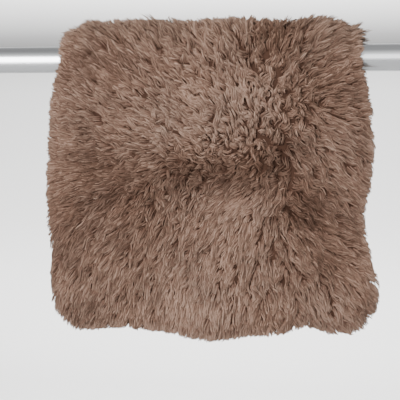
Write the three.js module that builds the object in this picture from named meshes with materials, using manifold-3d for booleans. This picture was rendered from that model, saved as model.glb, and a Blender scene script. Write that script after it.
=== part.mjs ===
// A sheepskin hung in half over a round metal rod, with its wool on the outside.
//
// Millimetres, +Z up. X runs along the rod from the centre of its left end face, and the front flap is on the -Y side.
// The hide lies flesh side down on the rod, bends over it and hangs down as two flaps, the back one a bit shorter.
// Its wool stands out from it as one thick lumpy layer with rounded edges, and is part of the same one-piece skin.
// All round the cut edge runs a narrow band of longer wool, drawn out into pointed locks.

import * as THREE from "three";
import { mergeVertices } from "three/addons/utils/BufferGeometryUtils.js";
import Module from "manifold-3d";

const wasm = await Module();
wasm.setup();

// The rod
const ROD_DIAMETER = 42.4;
const ROD_LENGTH = 740;
const ROD_CHAMFER = 1.5;
const ROD_SIDES = 64;

// How the hide lies on the rod
const SKIN_CENTRE_X = 396; // from the rod's left end
const ROD_GAP = 0.6; // between the rod and the flesh side
const BEND_RADIUS = ROD_DIAMETER / 2 + ROD_GAP; // of the flesh side
const QUARTER_BEND = (Math.PI / 2) * BEND_RADIUS; // hide from the crown of the bend to the level of the rod's axis
const DRAW_IN = 7; // each flap swings in under the rod by this
const DRAW_IN_OVER = 240; // over this distance below the rod's axis

// The slow waves of each flap, which grow towards its hem
const FRONT_WAVE = { height: 7, length: 330, shift: 0.6, full_at: 440 };
const BACK_WAVE = { height: 5, length: 390, shift: 2.1, full_at: 420 };
const CORNER_CURL = { across: 250, down: 370, radius: 90, height: 9 }; // of the front flap's right corner, outwards

// The reach of the wool to each side of the skin's centre line, by distance below the rod's axis.
// Rows above the axis have a negative distance, and the first row is the crown of the bend.
const FRONT_SIDES = [
  { down: -QUARTER_BEND, left: 222, right: 226 },
  { down: 0, left: 232, right: 235 },
  { down: 46, left: 247, right: 246 },
  { down: 94, left: 253, right: 254 },
  { down: 172, left: 258, right: 257 },
  { down: 245, left: 259, right: 245 },
  { down: 306, left: 253, right: 252 },
  { down: 345, left: 253, right: 259 },
  { down: 371, left: 253, right: 270 },
  { down: 404, left: 248, right: 256 },
];
const BACK_SIDES = [
  { down: -QUARTER_BEND, left: 222, right: 226 },
  { down: 0, left: 232, right: 235 },
  { down: 60, left: 246, right: 243 },
  { down: 230, left: 252, right: 240 },
  { down: 395, left: 246, right: 243 },
];

// How far the wool hangs below the rod's axis, across each flap's hem
const FRONT_HEM = [
  { across: -248, drop: 404 },
  { across: -228, drop: 427 },
  { across: -208, drop: 436 },
  { across: -148, drop: 432 },
  { across: -69, drop: 438 },
  { across: 5, drop: 447 },
  { across: 66, drop: 437 },
  { across: 123, drop: 432 },
  { across: 161, drop: 419 },
  { across: 198, drop: 429 },
  { across: 235, drop: 424 },
  { across: 264, drop: 385 },
];
const BACK_HEM = [
  { across: -246, drop: 382 },
  { across: -222, drop: 406 },
  { across: -185, drop: 414 },
  { across: 0, drop: 420 },
  { across: 190, drop: 412 },
  { across: 224, drop: 404 },
  { across: 243, drop: 378 },
];

// The wool's depth on the hide, and where it stands in swells or parts into hollows
const WOOL_DEPTH = 35;
const CROWN_DEPTH = 38.5;
const CROWN_BLEND = 20; // from the crown, the stretch over which each flap's own swells begin
const CROWN_SWELLS = [
  { across: -95, down: -QUARTER_BEND, radius: 60, rise: 2 },
  { across: 36, down: -QUARTER_BEND, radius: 34, rise: 5 },
  { across: 105, down: -QUARTER_BEND, radius: 26, rise: -4 },
  { across: 172, down: -QUARTER_BEND, radius: 24, rise: 2 },
];
const FRONT_SWELLS = [
  { across: -20, down: 84, radius: 52, rise: 7 },
  { across: 55, down: 62, radius: 46, rise: 5 },
  { across: -134, down: 89, radius: 62, rise: 5 },
  { across: 15, down: -37, radius: 40, rise: 2 },
  { across: 186, down: -20, radius: 30, rise: 4 },
  { across: 206, down: 111, radius: 50, rise: 4 },
  { across: 50, down: 222, radius: 40, rise: 6 },
  { across: -87, down: 250, radius: 44, rise: 3 },
  { across: 0, down: 318, radius: 62, rise: 5 },
  { across: -152, down: 366, radius: 52, rise: 4 },
  { across: 217, down: 350, radius: 40, rise: 5 },
  { across: -63, down: 166, radius: 24, rise: -9 },
  { across: 0, down: 163, radius: 24, rise: -11 },
  { across: 67, down: 150, radius: 24, rise: -10 },
  { across: 122, down: 166, radius: 30, rise: -12 },
  { across: 155, down: 230, radius: 27, rise: -11 },
  { across: 146, down: 58, radius: 24, rise: -6 },
  { across: -146, down: 208, radius: 44, rise: -8 },
  { across: -209, down: 295, radius: 26, rise: -5 },
  { across: 102, down: -24, radius: 22, rise: -6 },
  { across: 99, down: 385, radius: 22, rise: -7 },
];
const BACK_SWELLS = [
  { across: -120, down: 90, radius: 70, rise: 5 },
  { across: 90, down: 120, radius: 80, rise: 6 },
  { across: -20, down: 210, radius: 40, rise: -8 },
  { across: 150, down: 250, radius: 50, rise: -5 },
  { across: -150, down: 290, radius: 70, rise: 4 },
  { across: 60, down: 340, radius: 70, rise: 5 },
];
const RIPPLE = { height: 1.2, across: 103, down: 87 }; // the small unevenness of the wool between them

// The wool layer's rounded edge
const EDGE_ROUNDING = 26;
const EDGE_MIDDLE = 0.45; // of the depth: where the layer reaches furthest out
const EDGE_STEPS = [0, 3, 9, 17, EDGE_ROUNDING];
const ACROSS_CELLS = 21; // between the two rounded edges
const BEND_CELLS = 6; // from the crown to the level of the axis
const DOWN_CELLS = 19; // from there to the rounded hem

// The band of longer wool along the cut edge, and its locks
const LOCK_REACH = 18; // the wool layer ends this far inside the reach given above
const LOCK_TIPS = 26; // outside the layer's edge
const BAND_GAP = 2;
const BAND_HALF_WIDTH = 4.5; // outwards
const BAND_HALF_DEPTH = 11; // through the wool
const BAND_SIDES = 6;
const BAND_END_GAP = 1.5;
const LOCK_SPACING = 15.5;
const LOCK_HALF_WIDTH = 6.2;
const LOCK_MIDDLE_SHARE = 0.8; // how thick a lock still is halfway along it
const LOCK_VARIETY = { length: 0.18, curve: 0.2, lift: 0.18, root: 4 }; // at most: shares, radians and millimetres
const LOCK_SIDES = 3;
const HEM_SHARE = 0.99; // how much of the hem its band covers

// The lean of the locks away from straight out of the edge, in degrees towards the hem
const SIDE_LEAN = { top: -15, bottom: 52 };
const BEND_LEAN = 9; // most, to either side
const HEM_LEAN = 12; // most, to either side

const { PI, sin, cos, min, max, abs, hypot, sqrt } = Math;
const clamp01 = (x) => min(1, max(0, x));
const smooth = (x) => clamp01(x) ** 2 * (3 - 2 * clamp01(x));

// A soft curve through one column of a table, read at a place along another column.
function read(rows, along, column, place) {
  const last = rows.length - 1;
  const slope = (i) => {
    const a = rows[max(0, i - 1)];
    const b = rows[min(last, i + 1)];
    return (b[column] - a[column]) / (b[along] - a[along]);
  };
  const at = min(rows[last][along], max(rows[0][along], place));
  let i = 0;
  while (i < last - 1 && rows[i + 1][along] < at) i++;
  const [a, b] = [rows[i], rows[i + 1]];
  const span = b[along] - a[along];
  const t = (at - a[along]) / span;
  const [t2, t3] = [t * t, t * t * t];
  return (
    (2 * t3 - 3 * t2 + 1) * a[column] +
    (t3 - 2 * t2 + t) * span * slope(i) +
    (3 * t2 - 2 * t3) * b[column] +
    (t3 - t2) * span * slope(i + 1)
  );
}

const FRONT = {
  way: -1,
  sides: FRONT_SIDES,
  hem: FRONT_HEM,
  swells: FRONT_SWELLS,
  wave: FRONT_WAVE,
  curl: CORNER_CURL,
};
const BACK = { way: 1, sides: BACK_SIDES, hem: BACK_HEM, swells: BACK_SWELLS, wave: BACK_WAVE, curl: null };

// How far a flap's hide stands out from its straight hang.
function billow({ wave, curl }, across, down) {
  const grown = smooth(down / wave.full_at);
  const waves = wave.height * grown * sin((2 * PI * across) / wave.length + wave.shift);
  if (!curl) return waves;
  const away = hypot(across - curl.across, down - curl.down) / curl.radius;
  return waves + curl.height * smooth(1 - away);
}

// The depth of the wool, measured square to the hide.
function woolDepth(flap, across, down) {
  const base = CROWN_DEPTH + (WOOL_DEPTH - CROWN_DEPTH) * smooth((down + QUARTER_BEND) / (3 * QUARTER_BEND));
  const ripple = RIPPLE.height * sin((2 * PI * across) / RIPPLE.across) * cos((2 * PI * down) / RIPPLE.down);
  const rise = (swells) =>
    swells.reduce((sum, swell) => {
      const away = hypot(across - swell.across, down - swell.down) / swell.radius;
      return sum + swell.rise * Math.exp(-away * away);
    }, 0);
  // Both flaps meet at the crown, so what differs between them fades out there.
  const ownShare = smooth((down + QUARTER_BEND) / CROWN_BLEND);
  return base + rise(CROWN_SWELLS) + ownShare * (ripple + rise(flap.swells));
}

// The point that lies out from the hide's flesh side, at a place on a flap.
function place(flap, across, down, out) {
  if (down < 0) {
    const angle = (down + QUARTER_BEND) / BEND_RADIUS;
    const radius = BEND_RADIUS + out;
    return new THREE.Vector3(SKIN_CENTRE_X + across, flap.way * radius * sin(angle), radius * cos(angle));
  }
  const hang = BEND_RADIUS - DRAW_IN * smooth(down / DRAW_IN_OVER) + billow(flap, across, down);
  return new THREE.Vector3(SKIN_CENTRE_X + across, flap.way * (hang + out), -down);
}

const sideReach = (flap, side, down) => read(flap.sides, "down", side < 0 ? "left" : "right", down) - LOCK_REACH;

// The hem's drop at a share of the way across, from -1 at the left edge to 1 at the right.
function hemDrop(flap, share) {
  const end = share < 0 ? flap.hem[0] : flap.hem[flap.hem.length - 1];
  return read(flap.hem, "across", "drop", abs(share) * end.across) - LOCK_REACH;
}

// A closed solid from rings of points that follow each other, with both ends closed to a point.
function loft(rings, firstPoint, lastPoint) {
  const sides = rings[0].length;
  const points = [firstPoint, ...rings.flat(), lastPoint];
  const at = (ring, side) => 1 + ring * sides + (side % sides);
  const faces = [];
  for (let side = 0; side < sides; side++) {
    faces.push([0, at(0, side + 1), at(0, side)]);
    for (let ring = 0; ring + 1 < rings.length; ring++) {
      faces.push([at(ring, side), at(ring, side + 1), at(ring + 1, side + 1)]);
      faces.push([at(ring, side), at(ring + 1, side + 1), at(ring + 1, side)]);
    }
    faces.push([points.length - 1, at(rings.length - 1, side), at(rings.length - 1, side + 1)]);
  }
  return geometryOf(points, faces);
}

function geometryOf(points, faces) {
  const geometry = new THREE.BufferGeometry();
  geometry.setAttribute("position", new THREE.Float32BufferAttribute(points.flatMap((p) => [p.x, p.y, p.z]), 3));
  geometry.setIndex(faces.flat());
  return geometry;
}

// Solids, which the bands and their locks are joined as
function toSolid(geometry) {
  const bare = geometry.index ? geometry.clone() : geometry.toNonIndexed();
  bare.deleteAttribute("normal");
  bare.deleteAttribute("uv");
  const merged = mergeVertices(bare, 1e-4);
  const solid = new wasm.Manifold(
    new wasm.Mesh({
      numProp: 3,
      vertProperties: merged.attributes.position.array,
      triVerts: new Uint32Array(merged.index.array),
    }),
  );
  if (solid.volume() <= 0) throw new Error("a piece's faces point inwards");
  return solid;
}

function toGeometry(solid) {
  const mesh = solid.getMesh();
  const geometry = new THREE.BufferGeometry();
  geometry.setAttribute("position", new THREE.BufferAttribute(mesh.vertProperties, 3));
  geometry.setIndex(new THREE.BufferAttribute(mesh.triVerts, 1));
  geometry.computeVertexNormals();
  return geometry;
}

// The rod: plain round metal with a small chamfer at each end.
function rodGeometry() {
  const radius = ROD_DIAMETER / 2;
  const profile = [
    new THREE.Vector2(0, 0),
    new THREE.Vector2(radius - ROD_CHAMFER, 0),
    new THREE.Vector2(radius, ROD_CHAMFER),
    new THREE.Vector2(radius, ROD_LENGTH - ROD_CHAMFER),
    new THREE.Vector2(radius - ROD_CHAMFER, ROD_LENGTH),
    new THREE.Vector2(0, ROD_LENGTH),
  ];
  const geometry = new THREE.LatheGeometry(profile, ROD_SIDES);
  return geometry.rotateZ(-PI / 2);
}

// Where the skin's lines run across it, as shares from -1 at the left edge to 1 at the right.
function acrossShares() {
  const half = FRONT_SIDES[1].left - LOCK_REACH;
  const edges = EDGE_STEPS.map((step) => 1 - step / half);
  const inner = edges[edges.length - 1];
  const middle = Array.from({ length: ACROSS_CELLS - 1 }, (_, i) => inner * ((2 * (i + 1)) / ACROSS_CELLS - 1));
  return [...edges.map((share) => -share), ...middle, ...edges.reverse()];
}

// Where they run down a flap, from the crown to the hem.
function downPlaces(drop) {
  const bend = Array.from({ length: BEND_CELLS }, (_, i) => QUARTER_BEND * ((i + 1) / BEND_CELLS - 1));
  const flat = drop - EDGE_ROUNDING;
  const hang = Array.from({ length: DOWN_CELLS - 1 }, (_, i) => (flat * (i + 1)) / DOWN_CELLS);
  return [...bend, ...hang, ...EDGE_STEPS.map((step) => drop - step).reverse()];
}

// How full the wool layer is at a distance from its edge, from 0 on the edge to 1 where it is at its full depth.
const fullness = (distance) => sqrt(1 - (1 - clamp01(distance / EDGE_ROUNDING)) ** 2);

// The one-piece skin: one sheet of points on the flesh side, one on the outside of the wool, joined at the edge.
function skinGeometry() {
  const shares = acrossShares();
  const columns = shares.length;
  const rowsDown = BEND_CELLS + DOWN_CELLS - 1 + EDGE_STEPS.length;
  const rows = 2 * rowsDown + 1;
  const stations = [];
  for (let row = 0; row < rows; row++) {
    const fromCrown = row - rowsDown; // negative on the front flap
    const flap = fromCrown < 0 ? FRONT : BACK;
    stations.push(
      shares.map((share) => {
        const drop = hemDrop(flap, share);
        const down = fromCrown === 0 ? -QUARTER_BEND : downPlaces(drop)[abs(fromCrown) - 1];
        const reach = sideReach(flap, share, down);
        const across = share * reach;
        const full = fullness((1 - abs(share)) * reach) * fullness(drop - down);
        const depth = woolDepth(flap, across, down);
        const middle = EDGE_MIDDLE * depth;
        return {
          flesh: place(flap, across, down, middle * (1 - full)),
          wool: place(flap, across, down, middle + (depth - middle) * full),
        };
      }),
    );
  }
  const onEdge = (row, column) => row === 0 || column === 0 || row === rows - 1 || column === columns - 1;
  const points = [];
  const numbers = { flesh: [], wool: [] };
  for (let row = 0; row < rows; row++) {
    for (let column = 0; column < columns; column++) {
      const { flesh, wool } = stations[row][column];
      numbers.wool.push(points.push(wool) - 1);
      numbers.flesh.push(onEdge(row, column) ? points.length - 1 : points.push(flesh) - 1);
    }
  }
  const faces = [];
  for (let row = 0; row + 1 < rows; row++) {
    for (let column = 0; column + 1 < columns; column++) {
      const corner = row * columns + column;
      const [a, b, c, d] = [corner, corner + 1, corner + columns + 1, corner + columns];
      const [w, f] = [numbers.wool, numbers.flesh];
      faces.push([w[a], w[b], w[c]], [w[a], w[c], w[d]]);
      faces.push([f[a], f[c], f[b]], [f[a], f[d], f[c]]);
    }
  }
  return geometryOf(points, faces);
}

// A place on the skin's edge: the point halfway through the wool, the way straight out of the edge, the way along
// it towards the hem or the right, and the way out of the hide.
function sideEdge(flap, side, down) {
  const at = (d) => {
    const across = side * sideReach(flap, side, d);
    return place(flap, across, d, EDGE_MIDDLE * woolDepth(flap, across, d));
  };
  return edgeFrame(at(down), at(down + 1), new THREE.Vector3(side, 0, 0), outOfHide(flap, down));
}

function hemEdge(flap, share) {
  const at = (s) => {
    const down = hemDrop(flap, s);
    const across = s * sideReach(flap, s, down);
    return place(flap, across, down, EDGE_MIDDLE * woolDepth(flap, across, down));
  };
  return edgeFrame(at(share), at(share + 0.01), new THREE.Vector3(0, 0, -1), outOfHide(flap, 1));
}

function outOfHide(flap, down) {
  const angle = min(PI / 2, (down + QUARTER_BEND) / BEND_RADIUS);
  return new THREE.Vector3(0, flap.way * sin(angle), cos(angle));
}

function edgeFrame(point, next, roughlyOut, through) {
  const along = next.clone().sub(point).normalize();
  const out = roughlyOut.clone().addScaledVector(along, -roughlyOut.dot(along)).normalize();
  return { point, along, out, through };
}

// One band of longer wool along a stretch of the edge, with a lock fused to it between each two of its sections.
function bandGeometry(edgeAt, from, to, length, lean) {
  const locks = Math.round(length / LOCK_SPACING);
  const trim = (BAND_END_GAP / length) * (to - from);
  const frames = Array.from({ length: locks + 1 }, (_, i) => {
    const frame = edgeAt(from + trim + ((to - from - 2 * trim) * i) / locks);
    return { ...frame, centre: frame.point.clone().addScaledVector(frame.out, BAND_GAP + BAND_HALF_WIDTH) };
  });
  const { out, through, along } = frames[0];
  const hand = Math.sign(out.clone().cross(through).dot(along));
  const rings = frames.map((frame) =>
    ring(frame.centre, frame.out, frame.through, BAND_HALF_WIDTH, hand * BAND_HALF_DEPTH, BAND_SIDES),
  );
  let solid = toSolid(loft(rings, frames[0].centre, frames[locks].centre));
  for (let i = 0; i < locks; i++) {
    const root = frames[i].centre.clone().lerp(frames[i + 1].centre, 0.5);
    root.addScaledVector(frames[i].through, LOCK_VARIETY.root * varied(i * 7 + 3));
    solid = solid.add(toSolid(lockGeometry(frames[i], root, lean((i + 0.5) / locks, i), i)));
  }
  return toGeometry(solid);
}

function ring(centre, across, through, halfWidth, halfDepth, sides) {
  return Array.from({ length: sides }, (_, side) => {
    const turn = (2 * PI * (side + 0.5)) / sides;
    return centre
      .clone()
      .addScaledVector(across, halfWidth * sin(turn))
      .addScaledVector(through, -halfDepth * cos(turn));
  });
}

// An even spread of numbers from -1 to 1, so that no two neighbours are alike.
const varied = (i) => 2 * ((i * 0.618034) % 1) - 1;

// A pointed lock with a slight curve, from the middle of its band to its tip.
function lockGeometry(frame, root, leanDegrees, i) {
  const lean = (leanDegrees * PI) / 180;
  const reach = LOCK_TIPS - BAND_GAP - BAND_HALF_WIDTH;
  const length = (reach / cos(lean)) * (1 + LOCK_VARIETY.length * varied(i));
  const curve = LOCK_VARIETY.curve * varied(i * 5 + 2);
  const lift = LOCK_VARIETY.lift * varied(i * 3 + 1);
  const way = (angle) => {
    const level = frame.out.clone().multiplyScalar(cos(angle)).addScaledVector(frame.along, sin(angle));
    return level.addScaledVector(frame.through, lift).normalize();
  };
  const middle = root.clone().addScaledVector(way(lean - curve), 0.5 * length);
  const tip = middle.clone().addScaledVector(way(lean + curve), 0.5 * length);
  const across = frame.through.clone().cross(way(lean)).normalize();
  const middleWidth = LOCK_MIDDLE_SHARE * LOCK_HALF_WIDTH;
  const rings = [
    ring(root, across, frame.through, LOCK_HALF_WIDTH, LOCK_HALF_WIDTH, LOCK_SIDES),
    ring(middle, across, frame.through, middleWidth, middleWidth, LOCK_SIDES),
  ];
  return loft(rings, root.clone().addScaledVector(way(lean), -0.5), tip);
}

// The bands: one over the bend at each side, one down each side of each flap, and one along each hem.
function bandPieces() {
  const pieces = [];
  const add = (name, ...how) => pieces.push({ name, geometry: bandGeometry(...how) });
  const sideLean = (share) => SIDE_LEAN.top + (SIDE_LEAN.bottom - SIDE_LEAN.top) * share;
  const bendLean = (_, i) => BEND_LEAN * varied(i);
  const hemLean = (_, i) => HEM_LEAN * varied(i);
  for (const [sideName, side] of [["left", -1], ["right", 1]]) {
    // Over the bend the band runs from the front to the back.
    const overBend = (along) => {
      const flap = along < 0 ? FRONT : BACK;
      const frame = sideEdge(flap, side, abs(along) - QUARTER_BEND);
      return along < 0 ? { ...frame, along: frame.along.negate() } : frame;
    };
    const bendLength = PI * (BEND_RADIUS + EDGE_MIDDLE * CROWN_DEPTH);
    add(`edge_locks_bend_${sideName}`, overBend, -QUARTER_BEND, QUARTER_BEND, bendLength, bendLean);
    for (const [flapName, flap] of [["front", FRONT], ["back", BACK]]) {
      const bottom = hemDrop(flap, side);
      const down = (place) => sideEdge(flap, side, place);
      add(`edge_locks_${flapName}_${sideName}`, down, 0, bottom, bottom, sideLean);
    }
  }
  for (const [flapName, flap] of [["front", FRONT], ["back", BACK]]) {
    const width = flap.hem[flap.hem.length - 1].across - flap.hem[0].across;
    add(`edge_locks_${flapName}_hem`, (share) => hemEdge(flap, share), -HEM_SHARE, HEM_SHARE, width, hemLean);
  }
  return pieces;
}

// Colours
const WOOL = new THREE.MeshStandardMaterial({ color: 0x94766a, roughness: 0.95, metalness: 0 });
const METAL = new THREE.MeshStandardMaterial({ color: 0xc4c6c8, roughness: 0.32, metalness: 1 });

function named(name, geometry, material) {
  const mesh = new THREE.Mesh(geometry, material);
  mesh.name = name;
  return mesh;
}

const sheepskin = new THREE.Group();
sheepskin.add(named("rod", rodGeometry(), METAL));
sheepskin.add(named("skin", skinGeometry(), WOOL));
for (const { name, geometry } of bandPieces()) sheepskin.add(named(name, geometry, WOOL));

export default sheepskin;
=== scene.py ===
from math import pi

import bpy
import numpy as np
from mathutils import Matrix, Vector


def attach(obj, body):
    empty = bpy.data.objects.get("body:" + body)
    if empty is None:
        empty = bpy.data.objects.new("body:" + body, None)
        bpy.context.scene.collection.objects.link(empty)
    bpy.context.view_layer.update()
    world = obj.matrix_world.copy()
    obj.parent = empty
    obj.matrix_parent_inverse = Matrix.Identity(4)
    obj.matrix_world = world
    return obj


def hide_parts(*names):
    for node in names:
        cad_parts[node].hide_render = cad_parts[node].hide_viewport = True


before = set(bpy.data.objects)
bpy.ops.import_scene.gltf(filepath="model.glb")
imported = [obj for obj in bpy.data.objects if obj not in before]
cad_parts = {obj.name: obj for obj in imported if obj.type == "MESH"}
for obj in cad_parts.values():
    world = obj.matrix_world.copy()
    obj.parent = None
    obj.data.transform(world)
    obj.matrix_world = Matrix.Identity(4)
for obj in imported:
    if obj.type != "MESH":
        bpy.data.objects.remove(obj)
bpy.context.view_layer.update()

# The view: an 85 mm lens, 1.5 m in front of the rod and a little to its right, looking slightly down at the
# front flap.
EYE = Vector((0.5976, -1.4990, -0.0792))
LOOK = Vector((-0.1430, 0.9850, -0.0965))
SENSOR_WIDTH = 36
PICTURE_PIXELS, LENS_PIXELS = 400, 941  # the lens is this many of the picture's pixels long
camera = bpy.data.objects.new("front_view", bpy.data.cameras.new("front_view"))
camera.data.sensor_width = SENSOR_WIDTH
camera.data.lens = SENSOR_WIDTH * LENS_PIXELS / PICTURE_PIXELS
camera.location = EYE
camera.rotation_euler = LOOK.to_track_quat("-Z", "Y").to_euler()
bpy.context.collection.objects.link(camera)
bpy.context.scene.camera = camera

# The rod: a round aluminium tube, drawn and then satin finished, so very fine lines run along it. It stays as
# its CAD node and only gets its metal.
LINES_ALONG, LINES_ACROSS = 6, 900  # how closely the lines break along the rod and lie across it, per metre
METAL_DARK, METAL_PALE = (0.58, 0.59, 0.60), (0.68, 0.69, 0.70)
rod_metal = bpy.data.materials.new("satin_aluminium")
rod_metal.use_nodes = True
nodes, links = rod_metal.node_tree.nodes, rod_metal.node_tree.links
metal = nodes["Principled BSDF"]
metal.inputs["Metallic"].default_value = 1.0
metal.inputs["Specular Tint"].default_value = (0.45, 0.45, 0.45, 1)
place = nodes.new("ShaderNodeTexCoord")
stretch = nodes.new("ShaderNodeMapping")
stretch.inputs["Scale"].default_value = (LINES_ALONG, LINES_ACROSS, LINES_ACROSS)
drawn_lines = nodes.new("ShaderNodeTexNoise")
drawn_lines.inputs["Scale"].default_value = 1.0
drawn_lines.inputs["Detail"].default_value = 3.0
links.new(place.outputs["Object"], stretch.inputs["Vector"])
links.new(stretch.outputs["Vector"], drawn_lines.inputs["Vector"])
tint = nodes.new("ShaderNodeMapRange")
tint.data_type = "FLOAT_VECTOR"  # sockets 6, 9 and 10 are then its value and the two ends that it maps to
tint.inputs[9].default_value = METAL_DARK
tint.inputs[10].default_value = METAL_PALE
links.new(drawn_lines.outputs["Fac"], tint.inputs[6])
links.new(tint.outputs["Vector"], metal.inputs["Base Color"])
satin = nodes.new("ShaderNodeMapRange")
satin.inputs["To Min"].default_value = 0.18
satin.inputs["To Max"].default_value = 0.27
links.new(drawn_lines.outputs["Fac"], satin.inputs["Value"])
links.new(satin.outputs["Result"], metal.inputs["Roughness"])
scratch = nodes.new("ShaderNodeBump")
scratch.inputs["Strength"].default_value = 0.04
scratch.inputs["Distance"].default_value = 0.0002
links.new(drawn_lines.outputs["Fac"], scratch.inputs["Height"])
links.new(scratch.outputs["Normal"], metal.inputs["Normal"])
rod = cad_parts["rod"]
rod.data.materials.clear()
rod.data.materials.append(rod_metal)
rod.data.shade_smooth()

# The hide: one whole tanned sheepskin, 2.4 mm of soft suede, laid flesh side down over the rod so that two
# flaps hang from it. Only its own weight holds it. Lengths from here on are in millimetres: across from the
# skin's centre line, down from the level of the rod's axis, and out from the flesh side.
CENTRE_X = 396
BEND_RADIUS = 21.8
QUARTER_BEND = pi / 2 * BEND_RADIUS  # from the crown of the bend to the level of the rod's axis
HIDE_THICKNESS = 2.4
HIDE_MARGIN = 21  # the wool reaches this far past the cut edge
DRAW_IN, DRAW_IN_OVER = 7, 240  # each flap swings in under the rod by this, over this distance
FRONT_WAVE = {"height": 7, "full_from": 440, "length": 330, "shift": 0.6}
BACK_WAVE = {"height": 5, "full_from": 420, "length": 390, "shift": 2.1}
CORNER_CURL = {"across": 250, "down": 370, "radius": 90, "height": 9}
SIDE_COLUMNS = ("down", "left", "right")
FRONT_SIDES = [
    (-QUARTER_BEND, 222, 223),
    (0, 232, 232),
    (46, 247, 244),
    (94, 253, 252),
    (172, 258, 255),
    (245, 259, 243),
    (306, 253, 252),
    (345, 253, 262),
    (371, 253, 267),
    (404, 248, 261),
]
BACK_SIDES = [
    (-QUARTER_BEND, 222, 226),
    (0, 232, 235),
    (60, 246, 243),
    (230, 252, 240),
    (395, 246, 243),
]
HEM_COLUMNS = ("across", "drop")
FRONT_HEM = [
    (-248, 404),
    (-228, 427),
    (-208, 436),
    (-148, 432),
    (-69, 438),
    (5, 447),
    (66, 437),
    (123, 432),
    (161, 419),
    (198, 429),
    (237, 427),
    (254, 415),
    (264, 394),
]
BACK_HEM = [(-246, 382), (-222, 406), (-185, 414), (0, 420), (190, 412), (224, 404), (243, 378)]
CUT_WOBBLE = {"depth": 1.5, "length": 9, "slant": 3}
RIPPLE_HEIGHT, RIPPLE_FULL_FROM = 1.2, 120
RIPPLES = ((17, 60), (-51, 23))  # two sets of waves that cross, each with its lengths across and down
HIDE_SHARES = np.linspace(-1, 1, 41)  # columns, from the left edge to the right one
# rows, from -1 at the crown over 0 at the level of the rod's axis to 1 at the hem
HIDE_PARTS = np.r_[np.linspace(-1, 0, 9)[:-1], np.linspace(0, 1, 36)]


def smooth(x):
    """From 0 to 1 with no corner at either end."""
    x = np.clip(x, 0, 1)
    return x * x * (3 - 2 * x)


def read(rows, columns, along, wanted, at):
    """A soft curve through one column of a table."""
    table = np.array(rows, float)
    x, y = table[:, columns.index(along)], table[:, columns.index(wanted)]
    before, after = np.r_[0, 0 : len(x) - 1], np.r_[1 : len(x), len(x) - 1]
    slope = (y[after] - y[before]) / (x[after] - x[before])
    at = np.clip(at, x[0], x[-1])
    i = np.clip(np.searchsorted(x, at) - 1, 0, len(x) - 2)
    span = x[i + 1] - x[i]
    t = (at - x[i]) / span
    return (
        (2 * t**3 - 3 * t**2 + 1) * y[i]
        + (t**3 - 2 * t**2 + t) * span * slope[i]
        + (3 * t**2 - 2 * t**3) * y[i + 1]
        + (t**3 - t**2) * span * slope[i + 1]
    )


def side_reach(front, left, down):
    """How far the wool reaches to the left or the right of the centre line."""
    sides = FRONT_SIDES if front else BACK_SIDES
    left_reach, right_reach = (read(sides, SIDE_COLUMNS, "down", side, down) for side in ("left", "right"))
    return np.where(left, left_reach, right_reach)


def hem_drop(front, share):
    """How low the wool hangs, at a share of the way across from -1 at the left to 1 at the right."""
    hem = FRONT_HEM if front else BACK_HEM
    across = np.where(share < 0, np.abs(share) * hem[0][0], np.abs(share) * hem[-1][0])
    return read(hem, HEM_COLUMNS, "across", "drop", across)


def billow(front, across, down):
    """How far a flap stands out from a straight hang."""
    wave = FRONT_WAVE if front else BACK_WAVE
    phase = 2 * pi * across / wave["length"] + wave["shift"]
    swing = wave["height"] * smooth(down / wave["full_from"]) * np.sin(phase)
    if not front:
        return swing
    away = np.hypot(across - CORNER_CURL["across"], down - CORNER_CURL["down"]) / CORNER_CURL["radius"]
    return swing + CORNER_CURL["height"] * smooth(1 - away)


def hang(front, across, down, out):
    """From a place on the skin to its place in the room, in millimetres."""
    way = -1 if front else 1
    angle = np.minimum(down + QUARTER_BEND, QUARTER_BEND) / BEND_RADIUS
    radius = BEND_RADIUS + out
    below = np.maximum(down, 0)
    flap = BEND_RADIUS - DRAW_IN * smooth(below / DRAW_IN_OVER) + billow(front, across, below) + out
    y = np.where(down < 0, radius * np.sin(angle), flap)
    z = np.where(down < 0, radius * np.cos(angle), -down)
    return np.stack([CENTRE_X + across + 0 * y, way * y, z], -1)


def new_piece(name, places, corners, material):
    """A mesh object from places in millimetres and faces of one size."""
    mesh = bpy.data.meshes.new(name)
    count, sides = corners.shape
    mesh.vertices.add(len(places))
    mesh.vertices.foreach_set("co", (places * 0.001).astype(np.float32).ravel())
    mesh.loops.add(count * sides)
    mesh.loops.foreach_set("vertex_index", corners.astype(np.int32).ravel())
    mesh.polygons.add(count)
    mesh.polygons.foreach_set("loop_start", np.arange(0, count * sides, sides, dtype=np.int32))
    mesh.update(calc_edges=True)
    mesh.validate()
    mesh.shade_smooth()
    mesh.materials.append(material)
    piece = bpy.data.objects.new(name, mesh)
    bpy.context.collection.objects.link(piece)
    return piece


def sheet_faces(rows, columns, flip):
    """Square faces over a grid of places."""
    corner = (np.arange(rows - 1)[:, None] * columns + np.arange(columns - 1)).ravel()
    faces = np.stack([corner, corner + 1, corner + columns + 1, corner + columns], 1)
    return faces[:, ::-1] if flip else faces


def closed_sheet(top, under):
    """One closed skin from two grids of places of the same size."""
    rows, columns = top.shape[:2]
    size = rows * columns
    ring = np.r_[
        np.arange(columns - 1),
        np.arange(rows - 1) * columns + columns - 1,
        size - 1 - np.arange(columns - 1),
        size - columns - np.arange(rows - 1) * columns,
    ]
    after = np.roll(ring, -1)
    rim = np.stack([after, ring, ring + size, after + size], 1)
    outside, inside = sheet_faces(rows, columns, False), sheet_faces(rows, columns, True) + size
    places = np.concatenate([top.reshape(-1, 3), under.reshape(-1, 3)])
    return places, np.concatenate([outside, inside, rim])


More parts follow.
